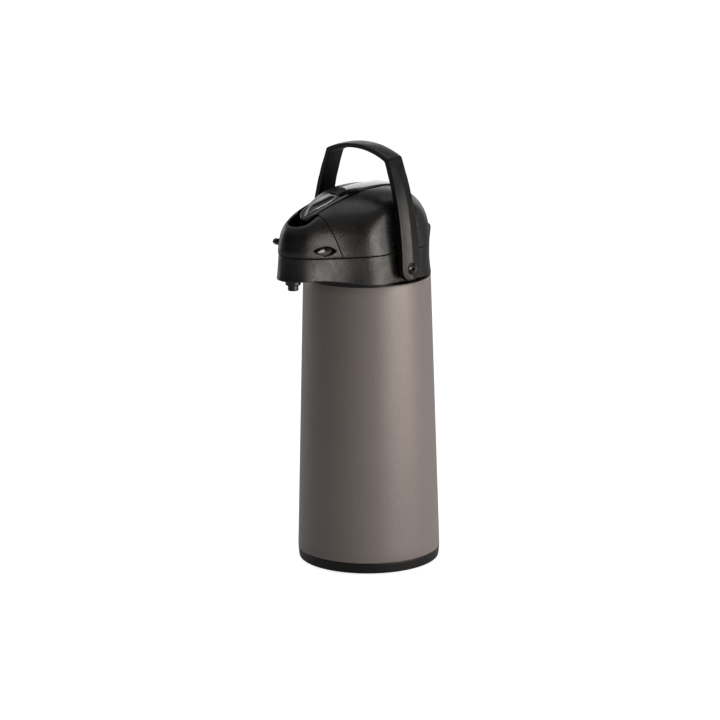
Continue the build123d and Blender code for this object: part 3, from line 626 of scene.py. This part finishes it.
def facet_handle(points):
    """Gives the arms their ridge and facets, and the grip its crown."""
    side = np.where(points[:, 0] < 0, -1.0, 1.0)
    x, y, z = np.abs(points[:, 0]), points[:, 1], points[:, 2].copy()
    across = (y - PIVOT_Y) / half_width(z)
    ridge = RIDGE_FOOT + RIDGE_SHIFT * unit((z - PIVOT_Z) / (GRIP_Z - PIVOT_Z))
    front = unit((ridge - across) / (1 + ridge))
    rear = unit((across - ridge) / (1 - ridge))
    fall = FRONT_FALL * front + FRONT_SWELL * np.sin(math.pi * front) + REAR_FALL * rear - RIDGE_UP
    crown = GRIP_CROWN * np.abs(across) ** GRIP_CROWN_POWER
    on_arm = eased(unit((ARM_TOP_Z - z) / ARM_TOP_FADE))
    nearness, outward = outer_skin(x, z)
    move = outward * (-(fall * on_arm + crown * (1 - on_arm)) * nearness)[:, None]
    points[:, 0] += side * move[:, 0]
    points[:, 2] += move[:, 1]


def dimple_arms(points):
    """Sinks a round dimple into each arm for its pivot cap."""
    side = np.where(points[:, 0] < 0, -1.0, 1.0)
    off_axis = np.hypot(points[:, 1] - PIVOT_Y, points[:, 2] - PIVOT_Z)
    inside = (off_axis < DIMPLE_R) & (np.abs(points[:, 0]) > DIMPLE_FLOOR_X + 0.6)
    points[:, 0] = np.where(inside, side * DIMPLE_FLOOR_X, points[:, 0])


handle_mesh = remeshed(skin("handle", handle_rings()), voxel=0.45, rounds=8)
reshape(handle_mesh, facet_handle, dimple_arms)
keep("handle_loop", handle_mesh, "handle_black", "handle")

# Dished caps on the pot's two trunnions: each profile point is (radius, distance from the pot's middle)
CAP_DISH = [(0.0, 62.6), (2.2, 63.1), (3.8, 64.8), (4.6, 66.2), (4.9, 66.6), (5.2, 66.4), (5.2, 64.3)]
CAP_STEM = [(4.0, 64.2), (4.0, 50.2), (0.0, 50.2)]
CAP_SIDES = 64


def pivot_cap(name, sign):
    def place(y, z, out):
        return (sign * out, PIVOT_Y + y, PIVOT_Z + z)

    mesh = turned(name, CAP_DISH + CAP_STEM, CAP_SIDES, place)
    keep(name, mesh, "bar_gloss", "handle_pivots")


pivot_cap("pivot_left", -1)
pivot_cap("pivot_right", 1)

# ---------------------------------------------------------------- lever and badge

LEVER_HALF_W, LEVER_TIP_Y = 12.4, -87.0
LEVER_ARCH = [
    (LEVER_TIP_Y, 359.0),
    (-79.0, 363.8),
    (-54.8, 371.8),
    (-39.3, 375.6),
    (-20.0, 378.8),
    (0.0, 379.6),
    (24.0, 378.0),
    (46.0, 372.0),
]
CROWN_MIDDLE, CROWN_SIDE_FALL, CROWN_FADE = 1.5, 0.9, 16.0
TAPER_Y, TAPER_LENGTH, TAPER_POWER, TIP_NARROWING = -62.0, 25.0, 1.5, 0.24
TOP_SKIN, TOP_SKIN_FADE = 5.0, 3.5
arch = spline(LEVER_ARCH, LINE_STEP)


def arch_top(y):
    return np.interp(y, arch[:, 0], arch[:, 1])


def crown_rise(x, y):
    """How far the lever's top bulges above its flat arch. The bulge fades out at the thin tip."""
    share = unit((y - LEVER_TIP_Y) / CROWN_FADE)
    return (CROWN_MIDDLE - CROWN_SIDE_FALL * (np.abs(x) / LEVER_HALF_W) ** 2) * share


def shape_lever(points):
    """Narrows the lever towards its tip and crowns its top."""
    forward = unit((TAPER_Y - points[:, 1]) / TAPER_LENGTH)
    points[:, 0] *= 1 - TIP_NARROWING * forward**TAPER_POWER
    near_top = unit((points[:, 2] - arch_top(points[:, 1]) + TOP_SKIN) / TOP_SKIN_FADE)
    points[:, 2] += crown_rise(points[:, 0], points[:, 1]) * near_top


lever = moulded("lever_top", "pump_lever", "lever_gloss", voxel=0.45, rounds=4)
reshape(lever.data, shape_lever)

BADGE_FRONT, BADGE_WIDE, BADGE_REAR, BADGE_HALF_W = -84.6, -60.0, -44.0, 8.4
POINT_POWER, REAR_NARROWING, REAR_POWER = 1.8, 0.38, 2
POINT_HALF_W, THINNEST_HALF_W = 0.05, 0.04
FIELD_INSET, POINT_INSET = 2.0, 1.4
BADGE_SLICES = 110


def badge_half(y):
    """Half-width of the pointed leaf at a place along the lever."""
    ahead = unit((BADGE_WIDE - y) / (BADGE_WIDE - BADGE_FRONT))
    behind = unit((y - BADGE_WIDE) / (BADGE_REAR - BADGE_WIDE))
    pointed = 1 - ahead**POINT_POWER
    return BADGE_HALF_W * pointed * (1 - REAR_NARROWING * behind**REAR_POWER) + POINT_HALF_W


def leaf_plate(name, inset, profile):
    """A leaf on the lever's top. Each profile point is (share of the half-width, height above the lever)."""
    rings = []
    for y in np.linspace(BADGE_FRONT + POINT_INSET * inset, BADGE_REAR - inset, BADGE_SLICES):
        half = max(float(badge_half(y)) - inset, THINNEST_HALF_W)
        ring = []
        for share, height in profile:
            x = share * half
            ring.append((x, y, float(arch_top(y) + crown_rise(x, y) + height)))
        rings.append(ring)
    return skin(name, rings)


rim = [(-1.0, -0.5), (-0.99, 0.3), (-0.97, 0.4), (-0.82, 0.4), (-0.79, 0.2), (-0.78, -0.1)]
rim += [(-share, height) for share, height in reversed(rim)]
rim += [(0.6, -0.5), (-0.6, -0.5)]
field = [(-1.0, -0.4), (-0.98, 0.08)]
field += [(share, 0.1 + 0.1 * (1 - share * share)) for share in np.linspace(-0.9, 0.9, 15)]
field += [(0.98, 0.08), (1.0, -0.4)]
keep("badge_rim", leaf_plate("badge_rim", 0.0, rim), "badge_bright", "lever_badge")
keep("badge_field", leaf_plate("badge_field", FIELD_INSET, field), "lever_gloss", "lever_badge")

# ---------------------------------------------------------------- lock bar and small parts

BAR_Y, BAR_Z, BAR_NEAR_X = -83.6, 329.4, 28.0
BAR_HALF_LEN, BAR_HALF_H = 9.5, 3.7
POCKET_X, SWELL_FADE, DOME_FADE, KNOB_FADE = 25.6, 0.6, 1.5, 1.5
NEAR_SWELL_Y, NEAR_SWELL_Z, NEAR_DOME = 0.15, 0.18, 0.9
KNOB_X, KNOB_END_X, KNOB_END_LENGTH = -30.0, -34.5, 3.2
KNOB_NARROWING, KNOB_FORWARD, KNOB_UP = 0.58, 6.7, 1.6


def shape_lock(points):
    """Swells and domes the near end to fill its pocket, and makes the far end a small round knob."""
    x = points[:, 0].copy()
    swell = unit((x - POCKET_X) / SWELL_FADE)
    knob = unit((KNOB_X - x) / KNOB_FADE)
    along = (points[:, 1] - BAR_Y) / BAR_HALF_LEN
    across = (points[:, 2] - BAR_Z) / BAR_HALF_H
    at_face = unit((x - BAR_NEAR_X + DOME_FADE) / DOME_FADE)
    points[:, 0] += NEAR_DOME * unit(1 - along**2 - across**2) * at_face
    to_end = unit((KNOB_END_X - points[:, 0]) / KNOB_END_LENGTH)
    end_round = np.sqrt(np.clip(1 - to_end**2, 0.1, 1))
    grow_y = (1 + NEAR_SWELL_Y * swell) * (1 - KNOB_NARROWING * knob) * end_round
    grow_z = (1 + NEAR_SWELL_Z * swell) * end_round
    points[:, 1] = BAR_Y + (points[:, 1] - BAR_Y) * grow_y - KNOB_FORWARD * knob
    points[:, 2] = BAR_Z + (points[:, 2] - BAR_Z) * grow_z + KNOB_UP * knob


lock = moulded("lock_lens", "lock_bar", "bar_gloss", voxel=0.3, rounds=3)
reshape(lock.data, shape_lock, lift_seam)
moulded("nozzle_moulding", "spout_nozzle", "head_black", voxel=0.35, rounds=4)

SCREWS = ("base_screws", "collar_screws", "lid_screws")
PINS = ("hinge_pin", "lever_pin")
for node in SCREWS + PINS + ("neck_ring", "spout_pipe", "push_plate"):
    smooth(nodes[node].data)

# ---------------------------------------------------------------- studio, in metres

AZIMUTH, ELEVATION, ROLL = math.radians(45.5), math.radians(14.37), math.radians(0.446)
DISTANCE, LENS, SENSOR = 3.860, 194.1, 36.0
TARGET_SIDE, TARGET_Z = -0.00749, 0.20185
AMBIENT = 0.035
WHITE, WARM = (1.0, 1.0, 1.0), (1.0, 0.94, 0.88)
right = Vector((math.cos(AZIMUTH), math.sin(AZIMUTH), 0))
toward = Vector((math.sin(AZIMUTH), -math.cos(AZIMUTH), 0))
middle = Vector((0, 0, 0.25))
scene = bpy.context.scene


def studio_world():
    """A bright wall behind the pot and a dim ceiling. The camera itself sees plain white."""
    world = bpy.data.worlds.new("studio")
    scene.world = world
    sky = NodeTree(world)
    split = sky.add("SeparateXYZ")
    sky.join(sky.add("TexCoord").outputs["Generated"], split.inputs[0])
    along_x = sky.calc("MULTIPLY", split.outputs["X"], -toward.x)
    away = sky.calc("ADD", along_x, sky.calc("MULTIPLY", split.outputs["Y"], -toward.y))
    up = split.outputs["Z"]
    wall = sky.calc("MULTIPLY", sky.span(away, 0.2, 0.8, 0.0, 1.35), sky.span(up, 0.38, 0.46, 1.0, 0.0))
    ceiling = sky.calc("MULTIPLY", sky.span(up, 0.5, 0.75, 0.0, 0.42), sky.span(away, -0.6, 0.5, 0.5, 1.0))
    light = sky.calc("ADD", sky.calc("ADD", wall, ceiling), AMBIENT)
    seen = sky.add("LightPath").outputs["Is Camera Ray"]
    light = sky.calc("ADD", sky.calc("MULTIPLY", light, sky.calc("SUBTRACT", 1.0, seen)), seen)
    background = sky.add("Background")
    sky.join(light, background.inputs["Strength"])
    sky.join(background.outputs[0], sky.add("OutputWorld").inputs["Surface"])


def studio_floor():
    """A wide matt floor that shines a little to the camera, so that it blends with the white behind."""
    mesh = bpy.data.meshes.new("floor")
    work = bmesh.new()
    bmesh.ops.create_circle(work, cap_ends=True, segments=96, radius=9.0)
    work.to_mesh(mesh)
    work.free()
    floor = bpy.data.objects.new("floor", mesh)
    scene.collection.objects.link(floor)
    s = Finish("floor_white")
    seen = s.add("LightPath").outputs["Is Camera Ray"]
    shine = s.calc("MULTIPLY", seen, 0.85)
    others = {"Emission Color": rgba(WHITE), "Emission Strength": shine}
    mesh.materials.append(s.done(rgba(WHITE, 0.82), 0.9, s.bump(s.noise(2), 0.05), others))


def softbox(name, where, size, power, color=WHITE):
    """A rectangular soft light that faces the pot's middle."""
    light = bpy.data.lights.new(name, "AREA")
    light.shape = "RECTANGLE"
    light.size, light.size_y = size
    light.energy = power
    light.color = color
    lamp = bpy.data.objects.new(name, light)
    scene.collection.objects.link(lamp)
    lamp.visible_camera = False
    lamp.location = where
    lamp.rotation_euler = (middle - where).to_track_quat("-Z", "Y").to_euler()


def studio_camera():
    data = bpy.data.cameras.new("camera")
    data.lens = LENS
    data.sensor_width = SENSOR
    camera = bpy.data.objects.new("camera", data)
    scene.collection.objects.link(camera)
    back = toward * math.cos(ELEVATION) + Vector((0, 0, math.sin(ELEVATION)))
    camera.location = right * TARGET_SIDE + Vector((0, 0, TARGET_Z)) + back * DISTANCE
    basis = Matrix((right, back.cross(right), back)).transposed()
    camera.rotation_euler = (basis @ Matrix.Rotation(-ROLL, 3, "Z")).to_euler()
    scene.camera = camera


scene.view_settings.view_transform = "Standard"
scene.view_settings.look = "None"
studio_world()
studio_floor()
softbox("key", right * 1.13 + toward * 0.65 + Vector((0, 0, 0.3)), (1.0, 0.6), 9.0, WARM)
softbox("fill", right * 0.7 + toward * 1.0 + Vector((0, 0, 0.1)), (0.3, 0.2), 0.9, WARM)
softbox("top", middle - toward * 0.2 + Vector((0, 0, 1.5)), (1.2, 1.2), 2.5)
softbox("rim", middle - right * 1.3 - toward * 1.1 + Vector((0, 0, 0.3)), (0.5, 1.2), 2)
studio_camera()
